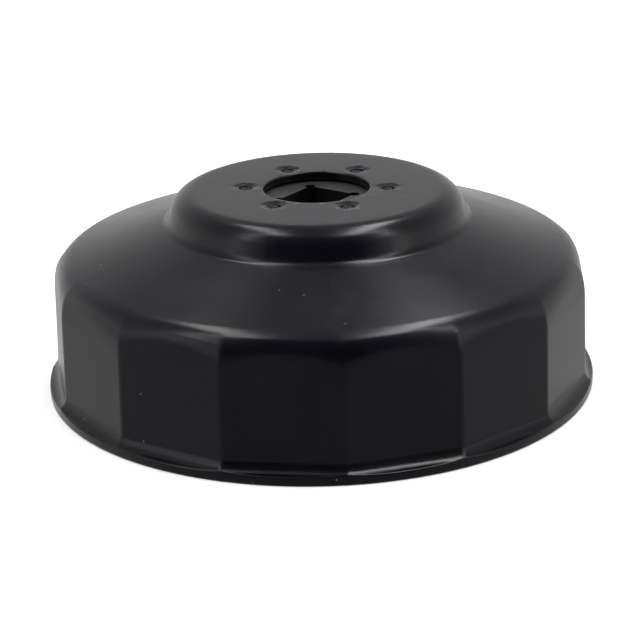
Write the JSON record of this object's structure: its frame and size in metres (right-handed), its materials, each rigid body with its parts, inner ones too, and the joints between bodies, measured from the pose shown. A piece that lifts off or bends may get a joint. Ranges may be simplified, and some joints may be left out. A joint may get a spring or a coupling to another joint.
{
  "type": "oil filter wrench",
  "caption": "Cap-style oil filter wrench: a pressed steel cup with flat flutes inside and out, a flared rim, and a welded square-drive plate under its raised hub.",
  "frame": {"origin": "on the cup's axis, in the plane of the rim that it stands on", "axes": "+Z along the cup's axis, from the open mouth to the hub; X and Y are square to the sides of the drive hole"},
  "size_m": [0.1006, 0.1006, 0.0361],
  "materials": {
    "cup_paint": "satin black paint with a fine texture and a few pale dust specks",
    "plate_paint": "satin black paint over machined steel, slightly rougher than the cup",
    "weld_paint": "thin black paint in the weld dimples"
  },
  "bodies": {
    "root": {"cup_shell": "cup_paint", "drive_plate": "plate_paint", "weld_nugget_1": "weld_paint", "weld_nugget_2": "weld_paint", "weld_nugget_3": "weld_paint", "weld_nugget_4": "weld_paint", "weld_nugget_5": "weld_paint", "weld_nugget_6": "weld_paint"}
  },
  "joints": []
}
